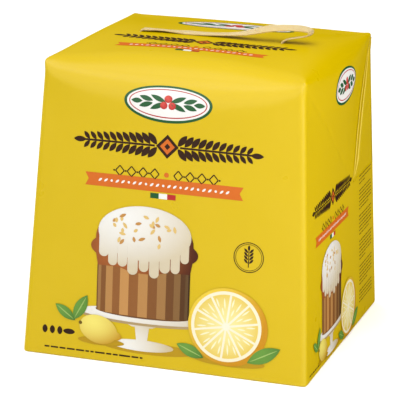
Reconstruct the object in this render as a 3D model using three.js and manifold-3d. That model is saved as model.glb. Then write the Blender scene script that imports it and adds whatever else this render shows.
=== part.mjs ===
// A closed paperboard gift carton for a large sweet loaf, with a woven tape handle.
// The carton is one folded blank: a tapered square box whose front and sides roll softly
// over into a crowned top. A long dart on each side takes up the spare board of the top,
// and its outer layer stands proud of the panel. The tape comes up through two slits.
// Millimetres, +Z up, front towards -Y, origin at the middle of the base.

import * as THREE from 'three';
import { mergeVertices } from 'three/addons/utils/BufferGeometryUtils.js';
import Module from 'manifold-3d';

// Driving dimensions of the carton
const baseWidth = 205;          // across the front at the table
const baseDepth = 205;
const topWidth = 182.5;         // between the top corners
const topDepth = 187.5;
const cornerHeight = 207;       // top corners above the table
const edgeBow = 0.8;            // the top edges rise this much at mid length
const crown = 6;                // rise of the top panel above its edges
const panelBulge = 1.4;         // outward bulge of the four walls

// Bends between panels: distance from the edge where the bend starts
const frontRoll = 30;           // front wall to top, at mid width
const sideRoll = 26;            // side walls to top, at mid depth
const cornerCrease = 2.6;       // upright creases
const backCrease = 2;           // back wall to top
const baseCrease = 1.6;         // walls to base
const creaseEnd = 1.5;          // where a roll dies out in a corner
const frontSwell = 0.08;        // how far a roll swells outwards, as a share of its width
const sideSwell = 0.237;
const swellReach = 1.6;         // and how far from the edge, as a share of its width

// Side darts
const dartFoot = { y: 30.5, z: 111 };   // where the dart runs out on the side panel
const dartHead = { y: 88.5, z: 202.5 };  // just below the top back corner
const outerLayer = 1.9;         // outer layer above the panel in front of it
const innerLayer = 0.8;         // second layer that peeps out from under it
const innerReach = 2.2;         // how far it peeps out
const dartDip = 0.8;            // hollow of the panel along the dart
const dartDipWidth = 36;
const wedgeRoot = 4;            // how deep each layer is rooted in the carton
const layerRim = 0.4;           // least step at the foot of the dart and at the back crease
const layerStep = 0.15;         // lean of the outer layer's cut edge

// Base flaps
const flapEdgeY = 36;           // free edge of the outer base flap
const flapStep = 0.6;           // board thickness between the two flaps
const flapBorder = 7;

// Handle tape
const tapeWidth = 10;
const tapeThickness = 1;
const slitX = 52;               // each slit from the middle
const slitY = -4;
const slitGap = 0.4;            // clearance round the tape
const slitDepth = 7;
const tapeGrip = 5;             // tape below the top panel

const yellowBoard = new THREE.MeshStandardMaterial({ color: 0xe6c32e, roughness: 0.42, metalness: 0 });
const creamTape = new THREE.MeshStandardMaterial({ color: 0xf2dda4, roughness: 0.8, metalness: 0 });

const wasm = await Module();
wasm.setup();

// A box of unit size whose points are carried to their places by a function
function bentBox(stepsX, stepsY, stepsZ, place) {
  const geometry = new THREE.BoxGeometry(2, 2, 2, stepsX, stepsY, stepsZ);
  geometry.deleteAttribute('normal');
  geometry.deleteAttribute('uv');
  const welded = mergeVertices(geometry);
  const position = welded.getAttribute('position');
  const point = new THREE.Vector3();
  for (let i = 0; i < position.count; i++) {
    point.fromBufferAttribute(position, i);
    point.copy(place(point.x, point.y, point.z));
    position.setXYZ(i, point.x, point.y, point.z);
  }
  return welded;
}

function toSolid(geometry) {
  const vertProperties = new Float32Array(geometry.getAttribute('position').array);
  const triVerts = new Uint32Array(geometry.getIndex().array);
  return new wasm.Manifold(new wasm.Mesh({ numProp: 3, vertProperties, triVerts }));
}

function toGeometry(solid) {
  const { vertProperties, triVerts } = solid.getMesh();
  const geometry = new THREE.BufferGeometry();
  geometry.setAttribute('position', new THREE.BufferAttribute(new Float32Array(vertProperties), 3));
  geometry.setIndex(new THREE.BufferAttribute(new Uint32Array(triVerts), 1));
  return geometry;
}

const lerp = THREE.MathUtils.lerp;
const clamp = THREE.MathUtils.clamp;
const halfWidthAt = (z) => lerp(baseWidth, topWidth, z / cornerHeight) / 2;
const halfDepthAt = (z) => lerp(baseDepth, topDepth, z / cornerHeight) / 2;

// A roll is widest at mid length and dies out at both corners
const rollAt = (widest, along) => creaseEnd + (widest - creaseEnd) * Math.sqrt(Math.max(0, 1 - along * along));

// The crown runs out level at the rolls and falls evenly to the back crease
function crownAt(u, v) {
  const along = v < 0 ? (1 - v ** 6) ** 2 : 1 - v * v;
  return crown * Math.max(0, 1 - Math.abs(u) ** 3) ** 1.5 * along;
}

// How far a point is pulled off a sharp edge when the bend starts `start` away from it
function pull(start, away) {
  const inside = Math.max(0, start - away);
  return (inside * inside) / (4 * start);
}

const swell = (share, start, away) => share * start * Math.exp(-((away / (swellReach * start)) ** 2));

// The outline of the side rolls, inwards at the edge and swollen on both sides of it
function sideBend(v, away) {
  const start = creaseEnd + (sideRoll - creaseEnd) * (1 - v * v);
  return pull(start, away) - swell(sideSwell, start, away);
}

// The hollow along each dart: it fades out forwards over its width and backwards to the crease
function dipAt(y, z) {
  const along = (z - dartFoot.z) / (dartHead.z - dartFoot.z);
  if (along <= 0 || along >= 1) return 0;
  const edgeY = lerp(dartFoot.y, dartHead.y, along);
  const width = y < edgeY ? dartDipWidth : halfDepthAt(z) - edgeY;
  const across = Math.cos(clamp((y - edgeY) / width, -1, 1) * Math.PI / 2);
  return dartDip * Math.sin(Math.PI * along) * across;
}

// A point of the carton's skin from cube coordinates between -1 and 1
function cartonPoint(a, b, c) {
  const u = Math.sin(a * Math.PI / 2);
  const v = Math.sin(b * Math.PI / 2);
  const w = Math.sin(c * Math.PI / 2);
  const rise = (w + 1) / 2;
  let z = rise * (cornerHeight + edgeBow * (1 - u * u) * (1 - v * v * 0.5));
  const halfX = halfWidthAt(rise * cornerHeight);
  const halfY = halfDepthAt(rise * cornerHeight);
  let x = u * halfX;
  let y = v * halfY;
  const fromTop = cornerHeight * (1 - rise);
  const fromBase = cornerHeight * rise;
  const fromSide = halfX * (1 - Math.abs(u));
  const fromFront = halfY * (1 + v);
  const fromBack = halfY * (1 - v);

  // walls bulge, the top is crowned
  const upright = 1 - w * w;
  if (Math.abs(a) === 1) x += Math.sign(a) * (panelBulge * (1 - v * v) * upright - dipAt(y, z));
  if (Math.abs(b) === 1) y += Math.sign(b) * panelBulge * (1 - u * u) * upright;
  if (c === 1) z += crownAt(u, v);

  // bends
  const frontStart = rollAt(frontRoll, u);
  const front = pull(frontStart, fromTop + fromFront) - swell(frontSwell, frontStart, fromTop + fromFront);
  const back = pull(backCrease, fromTop + fromBack);
  const side = sideBend(v, fromTop + fromSide);
  const corner = pull(cornerCrease, fromSide + Math.min(fromFront, fromBack));
  const baseY = pull(baseCrease, fromBase + Math.min(fromFront, fromBack));
  const baseX = pull(baseCrease, fromBase + fromSide);
  y += front - back - Math.sign(v) * (corner + baseY);
  x -= Math.sign(u) * (side + corner + baseX);
  z += baseX + baseY - front - back - side;
  return new THREE.Vector3(x, y, Math.max(0, z));
}

const topHeightAt = (x, y) => {
  const u = x / (topWidth / 2);
  const v = y / (topDepth / 2);
  const level = cornerHeight + edgeBow * (1 - u * u) * (1 - v * v * 0.5) + crownAt(u, v);
  return level - sideBend(v, topWidth / 2 - Math.abs(x));
};

// The two layers of a dart as one stepped wedge on the side panel: the inner layer peeps
// out in front, and the outer one runs from the dart's edge back to the upright crease
function dartWedge(side) {
  const columns = 6;
  return toSolid(bentBox(1, columns, 14, (a, b, c) => {
    const along = (c + 1) / 2;
    const column = Math.round(columns * (b + 1) / 2);
    const z = lerp(dartFoot.z, dartHead.z, along);
    const taper = Math.min(1, 6 * (1 - along), 6 * along + 0.1);
    const ahead = [lerp(2 * layerStep, innerReach, taper), layerStep][column] ?? 0;
    const back = Math.max(0, column - 2) / (columns - 2);
    const y = lerp(lerp(dartFoot.y, dartHead.y, along) - ahead, halfDepthAt(z) - cornerCrease, back);
    const v = y / halfDepthAt(z);
    const upright = 1 - (2 * z / cornerHeight - 1) ** 2;
    const skin = halfWidthAt(z) + panelBulge * (1 - v * v) * upright - dipAt(y, z)
      - sideBend(v, cornerHeight - z);
    const full = column < 2 ? innerLayer : outerLayer * (1 - back) ** 0.7;
    const lift = Math.max(layerRim, full * taper);
    const outside = a * side > 0;
    return new THREE.Vector3(side * (skin + (outside ? lift : -wedgeRoot)), y, z);
  }));
}

function blockSolid(width, depth, height, x, y, z) {
  return toSolid(bentBox(1, 1, 1, (a, b, c) => new THREE.Vector3(
    x + a * width / 2, y + b * depth / 2, z + c * height / 2)));
}

function makeCarton() {
  let body = toSolid(bentBox(24, 24, 18, cartonPoint));
  for (const side of [-1, 1]) {
    body = body.add(dartWedge(side));
    body = body.subtract(blockSolid(tapeThickness + 2 * slitGap, tapeWidth + 2 * slitGap,
      2 * slitDepth, side * slitX, slitY, topHeightAt(slitX, slitY)));
  }
  const backStrip = baseDepth / 2 - flapBorder - flapEdgeY;
  body = body.subtract(blockSolid(baseWidth - 2 * flapBorder, backStrip, 2 * flapStep,
    0, flapEdgeY + backStrip / 2, 0));
  return toGeometry(body);
}

// The tape's middle line and the tilt of its width in degrees. It arcs up out of the left
// slit, lies along the crown, lifts into a loop and doubles back to the right slit.
const slitTop = topHeightAt(slitX, slitY);
const tapeRoute = [
  { x: -slitX, y: slitY, z: slitTop - tapeGrip, tilt: 0 },
  { x: -slitX, y: slitY, z: slitTop - 1, tilt: 0 },
  { x: -51.6, y: slitY, z: slitTop + 0.9, tilt: 0 },
  { x: -49.6, y: -3.9, z: slitTop + 1.4, tilt: -1 },
  { x: -46, y: -3.3, z: 216.3, tilt: -5 },
  { x: -41, y: -2.2, z: 216.5, tilt: -8 },
  { x: -35, y: -1.2, z: 216.2, tilt: -8 },
  { x: -28, y: -0.3, z: 215.6, tilt: -4 },
  { x: -20, y: 0.2, z: 215.1, tilt: 2 },
  { x: -10, y: 0.6, z: 215.1, tilt: 0 },
  { x: 0, y: 0.8, z: 215.5, tilt: -1 },
  { x: 10, y: 0.4, z: 216.3, tilt: 0 },
  { x: 18, y: -0.4, z: 217.4, tilt: 4 },
  { x: 25, y: -1.4, z: 219.0, tilt: 11 },
  { x: 32, y: -2.2, z: 221.0, tilt: 16 },
  { x: 40, y: -3, z: 223.1, tilt: 17 },
  { x: 48, y: -3.6, z: 224.5, tilt: 14 },
  { x: 56, y: -4, z: 225.3, tilt: 12 },
  { x: 62, y: -4, z: 225.5, tilt: 11 },
  { x: 67, y: -4, z: 225.2, tilt: 9 },
  { x: 70.8, y: -4, z: 224.2, tilt: 5 },
  { x: 71.4, y: -4, z: 222.2, tilt: 4 },
  { x: 69, y: -4, z: 220.4, tilt: 6 },
  { x: 65, y: -4, z: 219.2, tilt: 7 },
  { x: 60.5, y: -4, z: 218.2, tilt: 6 },
  { x: 56.2, y: -4, z: 217.2, tilt: 5 },
  { x: 53.2, y: slitY, z: 216.0, tilt: 3 },
  { x: 52.1, y: slitY, z: slitTop + 0.9, tilt: 0 },
  { x: slitX, y: slitY, z: slitTop - 1, tilt: 0 },
  { x: slitX, y: slitY, z: slitTop - tapeGrip, tilt: 0 },
];

function makeTape() {
  const points = tapeRoute.map((p) => new THREE.Vector3(p.x, p.y, p.z));
  const line = new THREE.CatmullRomCurve3(points, false, 'centripetal');
  const depthWise = new THREE.Vector3(0, 1, 0);
  return bentBox(96, 2, 1, (a, b, c) => {
    const t = (a + 1) / 2;
    const middle = line.getPoint(t);
    const tangent = line.getTangent(t);
    const place = t * (tapeRoute.length - 1);
    const before = Math.min(Math.floor(place), tapeRoute.length - 2);
    const tilt = lerp(tapeRoute[before].tilt, tapeRoute[before + 1].tilt, place - before);
    const across = depthWise.clone().applyAxisAngle(tangent, THREE.MathUtils.degToRad(tilt));
    const normal = new THREE.Vector3().crossVectors(tangent, across).normalize();
    return middle
      .addScaledVector(across, b * tapeWidth / 2)
      .addScaledVector(normal, c * tapeThickness / 2);
  });
}

const pack = new THREE.Group();

const carton = new THREE.Mesh(makeCarton(), yellowBoard);
carton.name = 'carton';
pack.add(carton);

const handle = new THREE.Mesh(makeTape(), creamTape);
handle.name = 'handle_tape';
pack.add(handle);

export default pack;
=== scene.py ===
# A shut panettone gift carton: yellow printed board with a crowned top, a folded dart on
# each side and a flat woven tape handle. Metres, +Z up, the printed front faces -Y.

import math
import random

import bmesh
import bpy
from mathutils import Matrix, Vector, noise


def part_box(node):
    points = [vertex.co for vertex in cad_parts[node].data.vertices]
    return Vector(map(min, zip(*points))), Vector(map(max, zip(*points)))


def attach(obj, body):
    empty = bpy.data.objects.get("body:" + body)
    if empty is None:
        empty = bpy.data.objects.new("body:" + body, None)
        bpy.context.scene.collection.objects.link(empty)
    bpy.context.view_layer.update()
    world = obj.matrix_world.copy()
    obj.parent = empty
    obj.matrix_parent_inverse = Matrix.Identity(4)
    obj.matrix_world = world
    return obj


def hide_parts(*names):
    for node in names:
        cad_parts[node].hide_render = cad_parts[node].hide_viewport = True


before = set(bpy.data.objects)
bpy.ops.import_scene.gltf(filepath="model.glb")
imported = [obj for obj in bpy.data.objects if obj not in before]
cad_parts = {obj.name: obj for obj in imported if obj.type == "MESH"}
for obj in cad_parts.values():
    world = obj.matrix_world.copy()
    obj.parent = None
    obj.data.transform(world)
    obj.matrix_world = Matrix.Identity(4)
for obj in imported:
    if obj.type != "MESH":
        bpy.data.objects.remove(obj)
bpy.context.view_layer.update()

# Camera
# A long lens in front of the carton, turned a little towards its right side and looking
# slightly down. The view is worked out for a picture of 400 by 400.
picture_pixels = 400
focal_pixels = 2286.3
sensor_mm = 36.0
camera_turn = math.radians(16.99)
camera_climb = math.radians(15.25)
camera_bank = math.radians(1.55)
camera_distance = 1.6386
aim_height = 0.0923
aim_right = -0.0067
aim_up = 0.0021

backwards = Vector((
    math.sin(camera_turn) * math.cos(camera_climb),
    -math.cos(camera_turn) * math.cos(camera_climb),
    math.sin(camera_climb),
))
level = Vector((math.cos(camera_turn), math.sin(camera_turn), 0))
upwards = backwards.cross(level)
right = level * math.cos(camera_bank) + upwards * math.sin(camera_bank)
up = upwards * math.cos(camera_bank) - level * math.sin(camera_bank)
aim = Vector((0, 0, aim_height)) + right * aim_right + up * aim_up

lens = bpy.data.cameras.new("camera")
lens.sensor_width = sensor_mm
lens.lens = focal_pixels / picture_pixels * sensor_mm
lens.clip_end = 60
camera = bpy.data.objects.new("camera", lens)
camera.matrix_world = Matrix((right, up, backwards)).transposed().to_4x4()
camera.location = aim + backwards * camera_distance
bpy.context.scene.collection.objects.link(camera)
bpy.context.scene.camera = camera

# Studio floor
# One wide sheet of matt white paper under the carton, so that only a faint contact
# shadow shows. Mirrored in the board's varnish it is dark grey. It is part of the stage.
floor_size = 16.0
paper_white = (0.93, 0.93, 0.93, 1)
paper_in_varnish = (0.1, 0.1, 0.1, 1)


def new_material(name):
    material = bpy.data.materials.new(name)
    material.use_nodes = True
    nodes = material.node_tree.nodes
    return material, nodes, material.node_tree.links, nodes["Principled BSDF"]


def new_piece(name, bm, material):
    mesh = bpy.data.meshes.new(name)
    bm.to_mesh(mesh)
    bm.free()
    mesh.materials.append(material)
    piece = bpy.data.objects.new(name, mesh)
    bpy.context.scene.collection.objects.link(piece)
    return piece


floor_paper, nodes, links, shader = new_material("floor_paper")
seen_by = nodes.new("ShaderNodeLightPath")
paper_tone = nodes.new("ShaderNodeMix")
paper_tone.data_type = "RGBA"
paper_tone.inputs[6].default_value = paper_white
paper_tone.inputs[7].default_value = paper_in_varnish
links.new(seen_by.outputs["Is Glossy Ray"], paper_tone.inputs["Factor"])
links.new(paper_tone.outputs[2], shader.inputs["Base Color"])
shader.inputs["Roughness"].default_value = 0.9
bm = bmesh.new()
bmesh.ops.create_grid(bm, x_segments=4, y_segments=4, size=floor_size / 2)
floor = new_piece("studio_floor", bm, floor_paper)

# Studio light
# A big soft box overhead lights the top and the rolls, and a near one at the front right
# fades along the side panel. A white room fills in, dimmer and warmer on the right behind
# the carton.
bpy.context.scene.view_settings.view_transform = "Standard"
lamps_aim = Vector((0, 0, 0.1))
bright_side = (-0.68, -0.52, 0.52)
dim_room = 0.02
bright_room = 1.6
dim_side_tint = (1.0, 0.62, 0.25, 1)
lamps = [
    ("soft_box_top", (0.0, -0.5, 1.3), 1.4, 1.0, 8.0),
    ("soft_box_right", (0.5, -0.3, 0.35), 0.3, 0.3, 2.3),
]
for name, place, width, depth, power in lamps:
    light = bpy.data.lights.new(name, "AREA")
    light.shape = "RECTANGLE"
    light.size = width
    light.size_y = depth
    light.energy = power
    lamp = bpy.data.objects.new(name, light)
    lamp.location = place
    lamp.rotation_euler = (lamps_aim - Vector(place)).to_track_quat("-Z", "Y").to_euler()
    lamp.visible_camera = False
    bpy.context.scene.collection.objects.link(lamp)

room = bpy.data.worlds.new("white_room")
room.use_nodes = True
tree = room.node_tree
view = tree.nodes.new("ShaderNodeTexCoord")
facing = tree.nodes.new("ShaderNodeVectorMath")
facing.operation = "DOT_PRODUCT"
facing.inputs[1].default_value = bright_side
strength = tree.nodes.new("ShaderNodeMapRange")
strength.inputs["From Min"].default_value = -0.5
strength.inputs["From Max"].default_value = 0.4
strength.inputs["To Min"].default_value = dim_room
strength.inputs["To Max"].default_value = bright_room
warmth = tree.nodes.new("ShaderNodeMix")
warmth.data_type = "RGBA"
warmth.inputs[6].default_value = dim_side_tint
warmth.inputs[7].default_value = (1, 1, 1, 1)
tree.links.new(strength.outputs["Result"], warmth.inputs["Factor"])
tree.links.new(warmth.outputs[2], tree.nodes["Background"].inputs["Color"])
tree.links.new(view.outputs["Generated"], facing.inputs[0])
tree.links.new(facing.outputs["Value"], strength.inputs["Value"])
tree.links.new(strength.outputs["Result"], tree.nodes["Background"].inputs["Strength"])
bpy.context.scene.world = room

# Coated board finish
# Folding boxboard with a printed and varnished face: the ink mottles a little, and the varnish
# follows the fibres. Along the creases and the folded dart edges the colour is painted paler,
# partly as worn print and partly as a painted highlight where the board catches the light.
studio_level = 1.8
varnish_shine = 0.46
board_mottle = 0.035
ink_mottle = 0.03


def seen(red, green, blue):
    """A colour as the picture shows it, 0 to 255, as the share of light that is sent back.
    The studio is brighter than white, so that the floor burns out as in the photograph."""
    parts = [part / 255 for part in (red, green, blue)]
    light = [p / 12.92 if p < 0.04045 else ((p + 0.055) / 1.055) ** 2.4 for p in parts]
    return tuple(part / studio_level for part in light)


board_finish = bpy.data.node_groups.new("board_finish", "ShaderNodeTree")
for name, kind in (("Colour", "NodeSocketColor"), ("Worn Colour", "NodeSocketColor"),
                   ("Wear", "NodeSocketFloat"), ("Mottle", "NodeSocketFloat")):
    board_finish.interface.new_socket(name, in_out="INPUT", socket_type=kind)
for name, kind in (("Colour", "NodeSocketColor"), ("Roughness", "NodeSocketFloat"),
                   ("Normal", "NodeSocketVector")):
    board_finish.interface.new_socket(name, in_out="OUTPUT", socket_type=kind)


def add_node(tree, kind, **values):
    node = tree.nodes.new(kind)
    for key, value in values.items():
        setattr(node, key, value)
    return node


def add_noise(tree, place, scale, detail=3.0, roughness=0.5):
    node = add_node(tree, "ShaderNodeTexNoise")
    node.inputs["Scale"].default_value = scale
    node.inputs["Detail"].default_value = detail
    node.inputs["Roughness"].default_value = roughness
    tree.links.new(place, node.inputs["Vector"])
    return node.outputs["Fac"]


def add_range(tree, value, low, high):
    node = add_node(tree, "ShaderNodeMapRange")
    node.inputs["To Min"].default_value = low
    node.inputs["To Max"].default_value = high
    tree.links.new(value, node.inputs["Value"])
    return node.outputs["Result"]


def add_math(tree, operation, first, second):
    node = add_node(tree, "ShaderNodeMath", operation=operation)
    for socket, value in zip(node.inputs, (first, second)):
        if isinstance(value, (int, float)):
            socket.default_value = value
        else:
            tree.links.new(value, socket)
    return node.outputs["Value"]


def add_mix(tree, factor, first, second):
    node = add_node(tree, "ShaderNodeMix", data_type="RGBA")
    tree.links.new(factor, node.inputs["Factor"])
    for socket, value in ((node.inputs[6], first), (node.inputs[7], second)):
        if isinstance(value, tuple):
            socket.default_value = (*value, 1)
        else:
            tree.links.new(value, socket)
    return node.outputs[2]


tree = board_finish
given = add_node(tree, "NodeGroupInput")
taken = add_node(tree, "NodeGroupOutput")
place = add_node(tree, "ShaderNodeTexCoord").outputs["Object"]
clouds = add_noise(tree, place, 38.0)
fibres = add_noise(tree, place, 900.0, detail=4.0, roughness=0.6)
peel = add_noise(tree, place, 240.0, detail=2.0)
shift = add_math(tree, "MULTIPLY", add_range(tree, clouds, -0.5, 0.5), given.outputs["Mottle"])
lit = add_node(tree, "ShaderNodeHueSaturation")
tree.links.new(given.outputs["Colour"], lit.inputs["Color"])
tree.links.new(add_math(tree, "ADD", shift, 1.0), lit.inputs["Value"])
# Where the mask is up the colour turns the pale yellow: partly worn print, partly a painted highlight
# along creases and fold edges.
ragged = add_math(tree, "MULTIPLY", given.outputs["Wear"], add_range(tree, fibres, 0.35, 1.25))
colour = add_mix(tree, ragged, lit.outputs["Color"], given.outputs["Worn Colour"])
rough = add_math(tree, "ADD", add_range(tree, clouds, 0.25, 0.33),
                 add_math(tree, "MULTIPLY", ragged, 0.25))
relief = add_math(tree, "ADD", add_math(tree, "MULTIPLY", fibres, 0.35), peel)
bump = add_node(tree, "ShaderNodeBump")
bump.inputs["Strength"].default_value = 0.1
bump.inputs["Distance"].default_value = 0.0002
tree.links.new(relief, bump.inputs["Height"])
tree.links.new(colour, taken.inputs["Colour"])
tree.links.new(rough, taken.inputs["Roughness"])
tree.links.new(bump.outputs["Normal"], taken.inputs["Normal"])


def finish_with(nodes, links, shader, group, **values):
    """Places a finish group in a material and joins it to the shader."""
    finish = nodes.new("ShaderNodeGroup")
    finish.node_tree = group
    for name, value in values.items():
        socket = finish.inputs[name.replace("_", " ")]
        if isinstance(value, float):
            socket.default_value = value
        elif isinstance(value, tuple):
            socket.default_value = (*value, 1)
        else:
            links.new(value, socket)
    links.new(finish.outputs["Colour"], shader.inputs["Base Color"])
    links.new(finish.outputs["Roughness"], shader.inputs["Roughness"])
    links.new(finish.outputs["Normal"], shader.inputs["Normal"])


def dull_when_glancing(material, sheen):
    """A varnish that shines when it is seen straight on, and little at a glancing view."""
    tree = material.node_tree
    weight = add_node(tree, "ShaderNodeLayerWeight")
    weight.inputs["Blend"].default_value = 0.5
    straight_on = add_math(tree, "SUBTRACT", 1.0, weight.outputs["Facing"])
    level = add_math(tree, "MULTIPLY", add_math(tree, "POWER", straight_on, 3.0), sheen)
    tree.links.new(level, tree.nodes["Principled BSDF"].inputs["Specular IOR Level"])


# Carton
# One folded blank of yellow board, shut: a tapered box whose front and sides roll softly
# over into the crowned top, with sharp creases up the corners and along the back.
carton_high = Vector(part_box("carton")[1])
crown = 0.006
edge_bow = 0.0008
top_rise = 0.0076
corner_height = carton_high.z - top_rise
base_half = Vector((carton_high.x, carton_high.y))
top_width_share = 0.8906
top_depth_share = 0.915
top_half = Vector((base_half.x * top_width_share, base_half.y * top_depth_share))
wall_bulge = 0.0014
unevenness = 0.0004
uneven_size = 0.055

front_roll = 0.030
side_roll = 0.026
front_swell = 0.08
side_swell = 0.237
swell_reach = 1.6
roll_end = 0.0025
front_corner_crease = 0.0045
back_corner_crease = 0.0022
back_crease = 0.002
base_crease = 0.0016

dart_foot = Vector((0.0305, 0.111))
dart_head = Vector((0.0885, 0.2025))
dart_dip = 0.0008
dart_dip_width = 0.036
faint_fold_depth = 0.0004
faint_fold_width = 0.003

base_recess = 0.001
base_rim = 0.003
skin_cuts = 119
even_share = 0.35
# Pale band along the corners, the base edges and the back crease: partly worn print, partly a painted
# highlight.
edge_wear_and_highlight = 0.25
edge_wear_and_highlight_reach = 0.0016

board_yellow = seen(226, 193, 0)
# The pale yellow of worn print and of the painted highlight on creases and fold edges.
worn_and_highlight_yellow = seen(250, 226, 96)


def lerp(low, high, share):
    return low + (high - low) * share


def half_width_at(z):
    return lerp(base_half.x, top_half.x, z / corner_height)


def half_depth_at(z):
    return lerp(base_half.y, top_half.y, z / corner_height)


def roll_at(widest, along):
    """Where a roll starts: furthest from the edge at mid length, close to it in the corners."""
    return roll_end + (widest - roll_end) * math.sqrt(max(0.0, 1 - along * along))


def pull(start, away):
    """How far the bent board lies off a sharp edge."""
    return max(0.0, start - away) ** 2 / (4 * start)


def swell(share, start, away):
    """How far a roll swells out past the sharp edge, fading on both sides of it."""
    return share * start * math.exp(-(away / (swell_reach * start)) ** 2)


def crown_at(u, v):
    """The crown runs out level at the rolls and falls evenly to the back crease."""
    along = (1 - v ** 6) ** 2 if v < 0 else 1 - v * v
    return max(0.0, 1 - abs(u) ** 3) ** 1.5 * along


def dip_at(y, z):
    """The hollow of a side panel along its dart, and the faint fold in front of it."""
    along = (z - dart_foot.y) / (dart_head.y - dart_foot.y)
    if along <= 0 or along >= 1:
        return 0.0
    edge = lerp(dart_foot.x, dart_head.x, along)
    width = dart_dip_width if y < edge else half_depth_at(z) - edge
    across = math.cos(max(-1.0, min(1.0, (y - edge) / width)) * math.pi / 2)
    fold_y = lerp(dart_foot.x, -top_half.y, along)
    fold = math.exp(-((y - fold_y) / faint_fold_width) ** 2) * (1 - along) * along * 4
    return dart_dip * math.sin(math.pi * along) * across + faint_fold_depth * fold


def skin(u, v, w):
    """A point of the carton's outside. Each coordinate runs from -1 to 1 between two
    opposite panels, and the one that is at its end says which panel the point is on."""
    rise = (w + 1) / 2
    z = rise * (corner_height + edge_bow * (1 - u * u) * (1 - v * v / 2))
    half_x = half_width_at(rise * corner_height)
    half_y = half_depth_at(rise * corner_height)
    x = u * half_x
    y = v * half_y
    from_top = corner_height * (1 - rise)
    from_base = corner_height * rise
    from_side = half_x * (1 - abs(u))
    from_front = half_y * (1 + v)
    from_back = half_y * (1 - v)
    from_wall = min(from_front, from_back)

    wave = unevenness * noise.noise(Vector((x, y, z)) / uneven_size)
    upright = 1 - w * w
    if abs(u) == 1:
        x += u * ((wall_bulge + wave) * (1 - v * v) * upright - dip_at(y, z))
    if abs(v) == 1:
        y += v * (wall_bulge + wave) * (1 - u * u) * upright
    if w == 1:
        z += (crown + wave) * crown_at(u, v)

    front_start = roll_at(front_roll, u)
    front_away = from_top + from_front
    front = pull(front_start, front_away) - swell(front_swell, front_start, front_away)
    back = pull(back_crease, from_top + from_back)
    side_start = lerp(roll_end, side_roll, (1 - v * v) ** (1.6 if v > 0 else 1))
    side_away = from_top + from_side
    side = pull(side_start, side_away) - swell(side_swell, side_start, side_away)
    corner = pull(front_corner_crease if v < 0 else back_corner_crease, from_side + from_wall)
    low_y = pull(base_crease, from_base + from_wall)
    low_x = pull(base_crease, from_base + from_side)
    y += front - back - math.copysign(corner + low_y, v)
    x -= (side + corner + low_x) * ((u > 0) - (u < 0))
    z += low_x + low_y - front - back - side
    if w == -1 and min(from_side, from_wall) > base_rim:
        z += base_recess
    return Vector((x, y, z))


def spread(a):
    """Cube coordinates drawn towards the edges, where the board bends most."""
    return a if abs(a) == 1 else lerp(math.sin(a * math.pi / 2), a, even_share)


bm = bmesh.new()
bmesh.ops.create_cube(bm, size=2)
bmesh.ops.subdivide_edges(bm, edges=bm.edges[:], cuts=skin_cuts, use_grid_fill=True)
crease_wear_and_highlight = bm.verts.layers.float.new("wear_and_highlight")
for vert in bm.verts:
    ends = [round(part) if abs(abs(part) - 1) < 1e-4 else part for part in vert.co]
    u, v, w = (spread(part) for part in ends)
    half_x = half_width_at((w + 1) / 2 * corner_height)
    half_y = half_depth_at((w + 1) / 2 * corner_height)
    from_side = half_x * (1 - abs(u))
    from_wall = half_y * (1 - abs(v))
    from_base = corner_height * (1 + w) / 2
    from_back = half_y * (1 - v) + corner_height * (1 - w) / 2
    nearest = min(from_side + from_wall, from_base + min(from_side, from_wall), from_back)
    # Strong next to a crease and fading away from it: worn print and painted highlight.
    vert[crease_wear_and_highlight] = edge_wear_and_highlight * math.exp(-(nearest / edge_wear_and_highlight_reach) ** 2)
    vert.co = skin(u, v, w)
bmesh.ops.recalc_face_normals(bm, faces=bm.faces[:])
for face in bm.faces:
    face.smooth = True

yellow_board, nodes, links, shader = new_material("yellow_board")
# Reads the crease mask that paints the board paler: worn print and painted highlight.
wear_and_highlight = nodes.new("ShaderNodeAttribute")
wear_and_highlight.attribute_name = "wear_and_highlight"
finish_with(nodes, links, shader, board_finish, Colour=board_yellow, Worn_Colour=worn_and_highlight_yellow,
            Wear=wear_and_highlight.outputs["Fac"], Mottle=board_mottle)
dull_when_glancing(yellow_board, varnish_shine)
carton = new_piece("carton_skin", bm, yellow_board)
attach(carton, "root")
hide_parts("carton")

# Side darts
# The spare board of the top is folded away in a long dart on each side. Two folded edges
# show, one peeping out under the other, from the top back corner down to mid panel.
board_thickness = 0.00045
dart_layers = [("outer", 0.0, 0.0020, 0.0006), ("inner", 0.0048, 0.0009, 0.0004)]
under_reach = 0.006
head_overrun = 0.0015
lift_at_crease = 0.0001
room_for_full_height = 0.022
# How strongly the fold edges are painted with the pale yellow, as a painted highlight.
fold_edge_highlight = 0.8
fold_rows = 60
fold_columns = 26


def thicken(piece, name, thickness, offset=-1):
    """Gives a flat sheet its thickness, downwards unless the offset says otherwise."""
    solid = piece.modifiers.new(name, "SOLIDIFY")
    solid.thickness = thickness
    solid.offset = offset


def side_point(side, y, z, lift):
    """A point `lift` above a side panel."""
    point = skin(side, y / half_depth_at(z), 2 * z / corner_height - 1)
    point.x += side * lift
    return point


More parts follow.
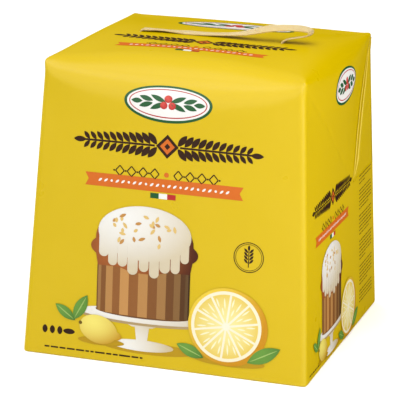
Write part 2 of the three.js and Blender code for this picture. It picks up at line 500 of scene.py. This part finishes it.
for side, side_name in ((1, "right"), (-1, "left")):
    for layer_name, ahead, height, bend in dart_layers:
        bm = bmesh.new()
        bmesh.ops.create_grid(bm, x_segments=fold_columns, y_segments=fold_rows, size=1)
        fold_highlight = bm.verts.layers.float.new("wear_and_highlight")
        for vert in bm.verts:
            across = (vert.co.x + 1) / 2
            along = (vert.co.y + 1) / 2
            z = lerp(dart_foot.y, dart_head.y + head_overrun, along)
            crease = half_depth_at(z) - back_corner_crease
            edge = lerp(dart_foot.x, dart_head.x, along)
            taper = min(1.0, 0.03 + 7 * along, (crease - edge) / room_for_full_height)
            edge -= ahead * min(1.0, 0.4 + 2 * along, 2.4 * (1 - along))
            top = height * taper
            round_r = bend * taper
            if across < 0.5:
                back = 1 - across / 0.5
                y = lerp(edge + round_r, crease, back)
                lift = lerp(lift_at_crease, top, (1 - back) ** 0.8)
            elif across < 0.8:
                angle = math.pi * (0.5 + (across - 0.5) / 0.3)
                y = edge + round_r * (1 + math.cos(angle))
                lift = top - round_r * (1 - math.sin(angle))
            else:
                y = edge + round_r + under_reach * (across - 0.8) / 0.2
                lift = top - 2 * round_r
            # The rounded fold edge is painted pale: a painted highlight where the fold catches the
            # light.
            fade = 0.03 if across < 0.53 else 0.12
            vert[fold_highlight] = fold_edge_highlight * math.exp(-((across - 0.53) / fade) ** 2)
            vert.co = side_point(side, min(y, crease), z, lift)
        if side > 0:
            bmesh.ops.reverse_faces(bm, faces=bm.faces[:])
        for face in bm.faces:
            face.smooth = True
        fold = new_piece(f"dart_{layer_name}_{side_name}", bm, yellow_board)
        thicken(fold, "board", board_thickness)
        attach(fold, "root")
        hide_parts("carton")

# Printed design
# Inks lie on the board as thin flat patches, worked out in millimetres on a level sheet,
# cut into small cells and then laid on the panels, so they follow every bend.
MM = 0.001
cell = 3.0
first_lift = 0.00008
layer_lift = 0.00003
patch_lift = 0.0000025
ink_thickness = 0.00004

ink_brown = seen(58, 32, 14)
ink_orange = seen(224, 112, 26)
ink_green = seen(34, 96, 52)
ink_red = seen(196, 44, 42)
ink_white = seen(250, 249, 244)
ink_dark_crust = seen(86, 36, 14)
ink_shadow = seen(196, 156, 6)


def shaded(light, dark, x, y, reach_x, reach_y):
    """An ink that runs from light to dark away from a bright spot."""
    def at(px, py):
        share = min(1.0, math.hypot((px - x) / reach_x, (py - y) / reach_y)) ** 1.6
        return tuple(lerp(a, b, share) for a, b in zip(light, dark))
    return at


sheets = []


def new_sheet():
    sheet = bmesh.new()
    sheet.faces.layers.int.new("ink_number")
    sheet.loops.layers.float_color.new("ink")
    sheets.append((sheet, []))
    return sheets[-1]


def mark(sheet, verts, ink, layer):
    """Says which ink a patch has and how high it lies over the board."""
    bm, inks = sheet
    inks.append(ink)
    number = bm.faces.layers.int["ink_number"]
    for vert in verts:
        vert.co.z = first_lift + layer_lift * layer + patch_lift * (len(inks) % 12)
    for face in {face for vert in verts for face in vert.link_faces}:
        face[number] = len(inks) - 1


def settle(sheet, verts, ink, layer, x, y, width, height, turn):
    bm = sheet[0]
    bmesh.ops.scale(bm, vec=(width, height, 1), verts=verts)
    bmesh.ops.rotate(bm, cent=(0, 0, 0), matrix=Matrix.Rotation(turn, 3, "Z"), verts=verts)
    bmesh.ops.translate(bm, vec=(x, y, 0), verts=verts)
    mark(sheet, verts, ink, layer)


def disc(sheet, ink, layer, x, y, width, height, turn=0.0, steps=28, leaf=0.0):
    """A round patch. A leaf of 1 draws both ends of it out to a point."""
    made = bmesh.ops.create_circle(sheet[0], cap_ends=True, segments=steps, radius=0.5)
    for vert in made["verts"]:
        vert.co.y *= lerp(1.0, math.sqrt(max(0.0, 1 - 4 * vert.co.x ** 2)), leaf)
    settle(sheet, made["verts"], ink, layer, x, y, width, height, turn)


def bar(sheet, ink, layer, x, y, width, height, turn=0.0, notch=0.0, flare=0.0):
    """A straight patch. A notch cuts a swallow tail in both ends, and a flare widens its top."""
    made = bmesh.ops.create_grid(sheet[0], x_segments=2, y_segments=2, size=0.5)
    for vert in made["verts"]:
        if abs(vert.co.y) < 0.1:
            vert.co.x *= 1 - notch
        vert.co.x *= 1 + flare * vert.co.y
    settle(sheet, made["verts"], ink, layer, x, y, width, height, turn)


def ring(sheet, ink, layer, x, y, width, height, line, steps=56):
    """A round line, `line` thick inside its outline."""
    rims = []
    for inset in (0, line):
        made = bmesh.ops.create_circle(sheet[0], cap_ends=False, segments=steps, radius=0.5)
        bmesh.ops.scale(sheet[0], vec=(width - 2 * inset, height - 2 * inset, 1), verts=made["verts"])
        rims += made["verts"]
    edges = list({edge for vert in rims for edge in vert.link_edges})
    bmesh.ops.bridge_loops(sheet[0], edges=edges)
    bmesh.ops.translate(sheet[0], vec=(x, y, 0), verts=rims)
    mark(sheet, rims, ink, layer)


# Badge of the print
# A white oval plaque with a green rim and a spray of leaves and red berries.
badge = new_sheet()
disc(badge, ink_green, 0, 0, 0, 62, 27, steps=64)
disc(badge, ink_white, 1, 0, 0, 58, 23.4, steps=64)
ring(badge, ink_red, 2, 0, 0, 55, 20.8, 0.7, steps=64)
for side in (-1, 1):
    for step, (x, y, length, turn) in enumerate(((7, 2.6, 12, 24), (7, -2.6, 12, -24),
                                                 (15.5, 2.2, 10, 16), (15.5, -2.2, 10, -16),
                                                 (22, 0, 8, 0))):
        disc(badge, ink_green, 3, side * x, y, length, 3.6, side * math.radians(turn), leaf=1)
for x, y, size in ((-2.9, -2.0, 5.2), (2.9, -2.0, 5.2), (0, 2.8, 5.6)):
    shine = shaded(seen(232, 92, 78), ink_red, x - 0.8, y + 0.9, size * 0.55, size * 0.55)
    disc(badge, shine, 4, x, y, size, size)

# Ornament rows of the print
# A brown garland of two wheat ears, a row of thin lozenges, an orange swallow-tailed band
# with white flecks, and a short strip of three colours.
rows = new_sheet()
kernels = 11
for side in (-1, 1):
    bar(rows, ink_brown, 0, side * 35, 0, 52, 1.3)
    for step in range(kernels):
        x = side * (10.5 + 4.7 * step)
        grow = 1 - 0.035 * step
        for tilt in (-1, 1):
            disc(rows, ink_brown, 1, x, tilt * 4.6 * grow, 9.6 * grow, 4.3 * grow,
                 side * tilt * math.radians(50), leaf=0.8)
    disc(rows, ink_brown, 1, side * 62.5, 0, 9, 3.8, leaf=0.8)
bar(rows, ink_brown, 0, 0, 0, 11.3, 11.3, turn=math.pi / 4)
bar(rows, ink_orange, 1, 0, 0, 7.4, 7.4, turn=math.pi / 4)
bar(rows, ink_brown, 2, 0, 0, 3, 3, turn=math.pi / 4)

thin_row = -19.0
for step in range(-4, 5):
    x = 8.3 * step
    if step:
        for corner in (-1, 1):
            for tilt in (-1, 1):
                bar(rows, ink_brown, 0, x + corner * 1.55, tilt * 1.75 + thin_row, 4.7, 0.75,
                    turn=-corner * tilt * math.radians(48.5))
        disc(rows, ink_brown, 0, x + 4.15 * math.copysign(1, step), thin_row, 1.3, 1.3, steps=12)
    else:
        disc(rows, ink_orange, 0, 0, thin_row, 3.4, 3.4)

band_row = -26.5
bar(rows, ink_orange, 0, -2, band_row, 112, 9, notch=0.045)
for step in range(-11, 12):
    x = -2 + 4.1 * step
    if step % 3:
        disc(rows, ink_white, 1, x, band_row, 3.3, 1.5, turn=math.radians(40), leaf=0.8, steps=12)
    else:
        disc(rows, ink_white, 1, x, band_row, 1.7, 1.7, steps=12)

strip_row = -33.8
for step, ink in enumerate((ink_green, ink_white, ink_red)):
    bar(rows, ink, 0, -8 + 6 * step, strip_row, 6, 3.6)

# Picture of the print
# A round iced loaf in a pleated case on a footed stand, with a lemon wheel, a whole lemon
# and leaves beside it, in flat shaded shapes.
picture = new_sheet()
loaf_x = -15.0
stand_z = 36.0
disc(picture, ink_shadow, 0, loaf_x + 4, 13.5, 66, 9)
china = shaded(ink_white, seen(214, 196, 158), loaf_x - 14, 12, 34, 26)
disc(picture, china, 1, loaf_x, 15, 46, 8)
bar(picture, china, 2, loaf_x, 23, 9, 17, flare=0.5)
bar(picture, china, 2, loaf_x, 30.5, 26, 5, flare=0.9)
plate = shaded(ink_white, seen(206, 186, 146), loaf_x - 20, stand_z + 2, 74, 20)
disc(picture, seen(186, 160, 112), 3, loaf_x, stand_z - 1.6, 92, 10.5, steps=56)
disc(picture, plate, 4, loaf_x, stand_z, 92, 10, steps=56)

case_width = 66.0
case_height = 33.0
pleats = 15
case_floor = stand_z + 1.5
disc(picture, seen(120, 78, 40), 5, loaf_x, case_floor + 0.4, case_width + 2, 7.5)
for step in range(pleats):
    share = (step + 0.5) / pleats * 2 - 1
    x = loaf_x + math.sin(share * math.pi / 2) * case_width / 2
    width = case_width / pleats * math.cos(share * math.pi / 2) * math.pi / 2 + 0.35
    dim = 1 - 0.45 * abs(share + 0.25) ** 1.5
    tone = (206, 150, 84) if step % 2 else (158, 100, 48)
    low = case_floor - 2.2 * math.cos(share * math.pi / 2)
    bar(picture, seen(*(part * dim for part in tone)), 6, x, low + case_height / 2 + 2, width,
        case_height + 4)
crust = shaded(seen(186, 104, 44), ink_dark_crust, loaf_x - 14, 84, 50, 42)
bar(picture, crust, 7, loaf_x, case_floor + case_height + 6, case_width + 3, 15, flare=0.08)
disc(picture, crust, 7, loaf_x, case_floor + case_height + 12, case_width + 11, 25, steps=48)
disc(picture, crust, 8, loaf_x, case_floor + case_height + 18, case_width + 4, 45, steps=56)

icing = shaded(ink_white, seen(222, 208, 178), loaf_x - 16, 104, 52, 34)
icing_z = case_floor + case_height + 21
disc(picture, icing, 9, loaf_x, icing_z + 2.5, case_width + 0.6, 38, steps=56)
drips = ((-29, 7, 9), (-22.5, 6.5, 15), (-15.5, 7, 11), (-8, 7.5, 18), (0, 7, 12),
         (7.5, 7, 20), (15, 7.5, 13), (22.5, 6.5, 17), (29, 6, 8))
for x, width, drop in drips:
    arch = 15.5 * math.sqrt(1 - (x / 36) ** 2)
    low = icing_z + 1 - arch
    bar(picture, icing, 10, loaf_x + x, low + 4 - drop / 4, width, drop / 2 + 8)
    disc(picture, icing, 10, loaf_x + x, low - drop / 2, width, width)
random.seed(7)
for step in range(26):
    angle = random.uniform(0, 2 * math.pi)
    reach = math.sqrt(random.random())
    x = loaf_x + 27 * reach * math.cos(angle)
    z = icing_z + 5 + 12 * reach * math.sin(angle)
    tone = seen(236, 200, 120) if step % 3 else seen(206, 150, 78)
    disc(picture, tone, 11, x, z, random.uniform(3.4, 5.4), 2.3, random.uniform(0, math.pi),
         steps=12, leaf=0.7)

wheel_x, wheel_z, wheel_size = 45.0, 36.0, 54.0
disc(picture, ink_shadow, 6, wheel_x + 3, wheel_z - wheel_size / 2 + 2.5, 50, 7)
rind = shaded(seen(255, 226, 70), seen(214, 150, 6), wheel_x - 9, wheel_z + 9, 36, 36)
disc(picture, rind, 12, wheel_x + 2.2, wheel_z - 0.6, wheel_size, wheel_size, steps=64)
disc(picture, rind, 13, wheel_x, wheel_z, wheel_size, wheel_size, steps=64)
disc(picture, seen(255, 247, 214), 14, wheel_x, wheel_z, wheel_size - 4.4, wheel_size - 4.4, steps=64)
slices = 10
flesh = shaded(seen(255, 244, 168), seen(238, 200, 56), wheel_x, wheel_z, 27, 27)
disc(picture, flesh, 15, wheel_x, wheel_z, wheel_size - 9, wheel_size - 9, steps=64)
for step in range(slices):
    angle = 2 * math.pi * (step + 0.3) / slices
    skin_x = wheel_x + wheel_size * 0.21 * math.cos(angle)
    skin_z = wheel_z + wheel_size * 0.21 * math.sin(angle)
    bar(picture, seen(255, 248, 218), 16, skin_x, skin_z, wheel_size * 0.42, 1.5, angle)
    for turn, reach, length in ((0.22, 0.3, 8), (0.36, 0.2, 6), (0.5, 0.32, 7)):
        x = wheel_x + wheel_size * reach * math.cos(angle + turn)
        z = wheel_z + wheel_size * reach * math.sin(angle + turn)
        disc(picture, seen(255, 251, 206), 16, x, z, length, 1.2, angle + turn, steps=12, leaf=1)
disc(picture, seen(255, 250, 226), 17, wheel_x, wheel_z, 5, 5)

lemon = shaded(seen(255, 240, 120), seen(206, 152, 0), -50.5, 28, 24, 18)
disc(picture, ink_shadow, 5, -44.5, 14.5, 34, 5.5)
disc(picture, lemon, 12, -46.5, 23, 28, 20, turn=math.radians(-14))
disc(picture, lemon, 12, -33.3, 19.5, 8, 6, turn=math.radians(-14), leaf=0.7)
disc(picture, seen(120, 96, 20), 13, -59.7, 26.4, 2.6, 2.6, steps=12)
for x, z, length, width, turn in ((-60, 37, 21, 8.5, 62), (-71, 32.5, 18, 7.5, 145),
                                  (72, 18.5, 26, 10, 28), (20, 16, 21, 8.5, 158)):
    angle = math.radians(turn)
    green = shaded(seen(112, 164, 66), seen(38, 92, 34), x - 4, z + 2, length, length)
    disc(picture, green, 13, x, z, length, width, angle, leaf=1)
    disc(picture, seen(168, 200, 110), 14, x, z, length * 0.86, 0.8, angle, steps=12, leaf=0.6)

# Seal and small marks of the print
# A thin ring round a wheat sprig, a short heavy mark in the lower corner, and rows of
# fine dashes where a pack carries its small print.
seal = new_sheet()
ring(seal, ink_brown, 0, 0, 0, 21, 21, 0.55)
ring(seal, ink_brown, 0, 0, 0, 18.4, 18.4, 0.3)
bar(seal, ink_brown, 0, 0, -0.6, 0.6, 12.5)
for step in range(4):
    for tilt in (-1, 1):
        disc(seal, ink_brown, 0, tilt * 1.9, -2.6 + 2.4 * step, 4.1, 1.6, tilt * math.radians(48),
             steps=12, leaf=0.8)
disc(seal, ink_brown, 0, 0, 6.6, 1.6, 3.6, steps=12)

mark_row = new_sheet()
for step, width in enumerate((4.2, 4.2, 4.2, 9.5)):
    x = -11.6 + 6.1 * step + (1.5 if width > 5 else 0)
    disc(mark_row, ink_brown, 0, x, 0, width, 6.4 if width < 5 else 4.4, leaf=0.25)


def dashes(width, count, pitch, height, seed, group=8):
    """Rows of short dashes, broken up as words are, in groups that end with a short row."""
    sheet = new_sheet()
    draw = random.Random(seed)
    for row in range(count):
        if row % group == group - 1:
            continue
        x = -width / 2
        stop = width / 2 * (draw.uniform(-0.6, 0.6) if row % group == group - 2 else 1)
        while x < stop - 1:
            length = min(draw.uniform(2.2, 8), stop - x)
            bar(sheet, ink_brown, 0, x + length / 2, -row * pitch, length, height)
            x += length + 1.1
    return sheet


foot_note = dashes(72, 1, 2, 1.1, 3)
side_note = dashes(54, 1, 2, 0.9, 4)
fine_block = dashes(40, 39, 2.7, 0.65, 5, group=7)
back_block = dashes(66, 9, 3.2, 0.9, 6)

# Where the design lies
# The whole design is on the front and the back, and a smaller one on each side beside a
# block of fine dashes. The top repeats the badge and the rows.


def panel_point(panel, s, t):
    """The skin at s and t millimetres on a panel, from its middle line and its lower edge,
    or on the top from its centre."""
    s, t = s * MM, t * MM
    w = 2 * t / corner_height - 1
    if panel == "front":
        return skin(s / half_width_at(t), -1, w)
    if panel == "back":
        return skin(-s / half_width_at(t), 1, w)
    if panel == "right":
        return skin(1, s / half_depth_at(t), w)
    if panel == "left":
        return skin(-1, -s / half_depth_at(t), w)
    return skin(s / top_half.x, t / top_half.y, 1)


def laid(panel, s, t, lift):
    """A point `lift` off a panel, square to the board at that place."""
    step = 0.4
    across = panel_point(panel, s + step, t) - panel_point(panel, s - step, t)
    along = panel_point(panel, s, t + step) - panel_point(panel, s, t - step)
    return panel_point(panel, s, t) + across.cross(along).normalized() * lift


printed_ink, nodes, links, shader = new_material("printed_ink")
ink_paint = nodes.new("ShaderNodeAttribute")
ink_paint.attribute_name = "ink"
finish_with(nodes, links, shader, board_finish, Colour=ink_paint.outputs["Color"],
            Worn_Colour=worn_and_highlight_yellow, Wear=0.0, Mottle=ink_mottle)
dull_when_glancing(printed_ink, varnish_shine)

design = {
    "front": [(badge, 1.0, -1.5, 184), (rows, 1.0, -1, 155), (picture, 1.0, 0, 0),
              (seal, 1.0, 58.6, 85.7), (mark_row, 0.9, -75.5, 18.7), (foot_note, 1.0, -50, 6.2)],
    "back": [(badge, 1.0, 0, 184), (rows, 1.0, 0, 155), (picture, 0.82, 22, 10),
             (back_block, 1.0, -56, 70), (seal, 1.0, -56, 96), (foot_note, 1.0, -50, 6.2)],
    "right": [(badge, 0.92, -1, 184), (rows, 0.8, -28, 114.5), (picture, 0.78, -22, -5),
              (fine_block, 1.0, 69, 118), (side_note, 1.0, -66, 4.6)],
    "left": [(badge, 0.92, 1, 184), (rows, 0.8, 28, 114.5), (picture, 0.78, 30, -5),
             (fine_block, 1.0, -69, 118), (side_note, 1.0, 66, 4.6)],
    "top": [(badge, 1.4, 1, 51), (rows, 0.94, 0.7, -25)],
}


def cut_into_cells(bm):
    """Cuts every patch along a grid of lines, so that it can bend with the board."""
    for axis in (0, 1):
        ends = [vert.co[axis] for vert in bm.verts]
        line = math.ceil(min(ends) / cell) * cell
        while line < max(ends):
            normal = Vector((1, 0, 0)) if axis == 0 else Vector((0, 1, 0))
            bmesh.ops.bisect_plane(bm, geom=bm.verts[:] + bm.edges[:] + bm.faces[:],
                                   dist=1e-5, plane_co=normal * line, plane_no=normal)
            line += cell


flat_prints = {}
for bm, inks in sheets:
    cut_into_cells(bm)
    number = bm.faces.layers.int["ink_number"]
    paint = bm.loops.layers.float_color["ink"]
    for face in bm.faces:
        ink = inks[face[number]]
        face.smooth = True
        for loop in face.loops:
            x, y = loop.vert.co.xy
            loop[paint] = (*(ink(x, y) if callable(ink) else ink), 1)
    bmesh.ops.triangulate(bm, faces=[face for face in bm.faces if len(face.verts) > 4])
    for edge in bm.edges:
        edge.smooth = not edge.is_boundary
    flat_prints[id(bm)] = bpy.data.meshes.new("flat_print")
    bm.to_mesh(flat_prints[id(bm)])

for panel, groups in design.items():
    bm = bmesh.new()
    for (source, inks), size, shift_s, shift_t in groups:
        already = len(bm.verts)
        bm.from_mesh(flat_prints[id(source)])
        for vert in bm.verts[already:]:
            x, y, lift = vert.co
            vert.co = laid(panel, x * size + shift_s, y * size + shift_t, lift)
    print_piece = new_piece(f"print_{panel}", bm, printed_ink)
    thicken(print_piece, "film", ink_thickness)
    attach(print_piece, "root")
for bm, inks in sheets:
    bpy.data.meshes.remove(flat_prints[id(bm)])
    bm.free()

# Handle tape
# A flat woven tape, ten millimetres wide, that comes up through a slit at each end and
# lets a little light through. It arcs up on the left, lies along the crown, and doubles
# back in a loop to the right slit.
tape_width = 0.010
tape_thickness = 0.0008
slit_x = 0.052
slit_y = -0.004
slit_top = skin(slit_x / top_half.x, slit_y / top_half.y, 1).z
tape_route = [
    (-0.0520, slit_y, slit_top - 0.005, 0), (-0.0520, slit_y, slit_top - 0.001, 0),
    (-0.0516, slit_y, slit_top + 0.0009, 0), (-0.0496, -0.0039, slit_top + 0.0014, -3),
    (-0.0460, -0.0033, 0.2158, -5), (-0.0410, -0.0022, 0.2158, -8),
    (-0.0350, -0.0012, 0.2156, -8), (-0.0280, -0.0003, 0.2153, -4),
    (-0.0200, 0.0002, 0.2151, 2), (-0.0100, 0.0006, 0.2151, 0), (0.0, 0.0008, 0.2155, -1),
    (0.0100, 0.0004, 0.2163, 0), (0.0180, -0.0004, 0.2174, 4), (0.0250, -0.0014, 0.2190, 11),
    (0.0320, -0.0022, 0.2210, 16), (0.0400, -0.0030, 0.2231, 17), (0.0480, -0.0036, 0.2245, 14),
    (0.0560, -0.0040, 0.2253, 12), (0.0620, -0.0040, 0.2255, 11), (0.0670, -0.0040, 0.2252, 9),
    (0.0708, -0.0040, 0.2242, 5), (0.0714, -0.0040, 0.2222, 4), (0.0690, -0.0040, 0.2204, 6),
    (0.0650, -0.0040, 0.2192, 7), (0.0605, -0.0040, 0.2182, 6), (0.0562, -0.0040, 0.2172, 5),
    (0.0532, slit_y, 0.2160, 3), (0.0521, slit_y, slit_top + 0.0009, 0),
    (0.0520, slit_y, slit_top - 0.001, 0), (0.0520, slit_y, slit_top - 0.005, 0),
]
tape_cup = 0.0003
tape_edge_round = 0.0002
rib_pitch = 0.0006
warp_pitch = 0.0004
wave_for_one_metre = 0.314
tape_steps = 12
tape_columns = 10


def tape_middle(t):
    """The tape's middle line, its direction and its tilt, at t route points from its start."""
    start = min(int(t), len(tape_route) - 2)
    share = t - start
    near = [tape_route[max(0, min(len(tape_route) - 1, start + k))] for k in (-1, 0, 1, 2)]
    points = [Vector((x, y, z)) for x, y, z, tilt in near]
    span = (points[2] - points[1]).length
    leave = (points[2] - points[0]).normalized() * span
    arrive = (points[3] - points[1]).normalized() * span
    a, b = points[1], points[2]
    place = (a * (2 * share ** 3 - 3 * share ** 2 + 1) + leave * (share ** 3 - 2 * share ** 2 + share)
             + b * (3 * share ** 2 - 2 * share ** 3) + arrive * (share ** 3 - share ** 2))
    heading = (a * (6 * share ** 2 - 6 * share) + leave * (3 * share ** 2 - 4 * share + 1)
               + b * (6 * share - 6 * share ** 2) + arrive * (3 * share ** 2 - 2 * share))
    return place, heading.normalized(), math.radians(lerp(near[1][3], near[2][3], share))


bm = bmesh.new()
segments = tape_steps * (len(tape_route) - 1)
bmesh.ops.create_grid(bm, x_segments=segments, y_segments=tape_columns, size=1)
weave_map = bm.loops.layers.uv.new("weave")
tape_length = sum((Vector(a[:3]) - Vector(b[:3])).length for a, b in zip(tape_route, tape_route[1:]))
for face in bm.faces:
    face.smooth = True
    for loop in face.loops:
        loop[weave_map].uv = ((loop.vert.co.x + 1) / 2 * tape_length, loop.vert.co.y * tape_width / 2)
for vert in bm.verts:
    middle, heading, tilt = tape_middle((vert.co.x + 1) / 2 * (len(tape_route) - 1))
    across = Matrix.Rotation(tilt, 3, heading) @ Vector((0, 1, 0))
    cup = heading.cross(across) * tape_cup * vert.co.y ** 2
    vert.co = middle + across * (vert.co.y * tape_width / 2) - cup

cream_tape, nodes, links, shader = new_material("cream_tape")
tree = cream_tape.node_tree
weave = add_node(tree, "ShaderNodeUVMap", uv_map="weave")
ribs = add_node(tree, "ShaderNodeTexWave", wave_type="BANDS", bands_direction="X")
ribs.inputs["Scale"].default_value = wave_for_one_metre / rib_pitch
warp = add_node(tree, "ShaderNodeTexWave", wave_type="BANDS", bands_direction="Y")
warp.inputs["Scale"].default_value = wave_for_one_metre / warp_pitch
for wave in (ribs, warp):
    links.new(weave.outputs["UV"], wave.inputs["Vector"])
fuzz = add_noise(tree, add_node(tree, "ShaderNodeTexCoord").outputs["Object"], 700.0)
threads = add_math(tree, "ADD", ribs.outputs["Fac"],
                   add_math(tree, "MULTIPLY", warp.outputs["Fac"], 0.5))
tone = add_math(tree, "MULTIPLY", add_math(tree, "ADD", threads, fuzz), 0.4)
colour = add_mix(tree, tone, seen(220, 188, 118), seen(243, 219, 150))
links.new(colour, shader.inputs["Base Color"])
links.new(add_range(tree, fuzz, 0.5, 0.7), shader.inputs["Roughness"])
shader.inputs["Subsurface Weight"].default_value = 0.6
shader.inputs["Subsurface Radius"].default_value = (1.0, 0.8, 0.4)
shader.inputs["Subsurface Scale"].default_value = 0.002
shader.inputs["Sheen Weight"].default_value = 0.12
shader.inputs["Sheen Roughness"].default_value = 0.4
bump = add_node(tree, "ShaderNodeBump")
bump.inputs["Strength"].default_value = 0.6
bump.inputs["Distance"].default_value = 0.0002
links.new(threads, bump.inputs["Height"])
links.new(bump.outputs["Normal"], shader.inputs["Normal"])

tape = new_piece("handle_tape_woven", bm, cream_tape)
thicken(tape, "weave_thickness", tape_thickness, offset=0)
rounded = tape.modifiers.new("soft_edges", "BEVEL")
rounded.width = tape_edge_round
rounded.segments = 2
rounded.limit_method = "ANGLE"
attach(tape, "root")
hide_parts("handle_tape")

# Base flaps
# The front flap closes over the back one under the carton, each one board thick, and the
# carton rests on the front flap and on its own creased rim.
flap_edge = 0.036
flap_overlap = 0.02
flap_side_gap = 0.004
flap_corner_width = 0.012
flap_corner_length = 0.03
for name, front, rear, low in (
        ("front", -base_half.y + flap_side_gap, flap_edge, 0.0),
        ("back", flap_edge - flap_overlap, base_half.y - flap_side_gap, board_thickness)):
    bm = bmesh.new()
    bmesh.ops.create_grid(bm, x_segments=24, y_segments=16, size=0.5)
    width = 2 * (base_half.x - flap_side_gap)
    free = rear if name == "front" else front
    for vert in bm.verts:
        y = lerp(front, rear, vert.co.y + 0.5)
        away = abs(y - free)
        trim = flap_corner_width * max(0.0, 1 - away / flap_corner_length)
        vert.co = Vector((vert.co.x * (width - 2 * trim), y, low + board_thickness))
    flap = new_piece(f"base_flap_{name}", bm, yellow_board)
    thicken(flap, "board", board_thickness)
    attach(flap, "root")
    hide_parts("carton")
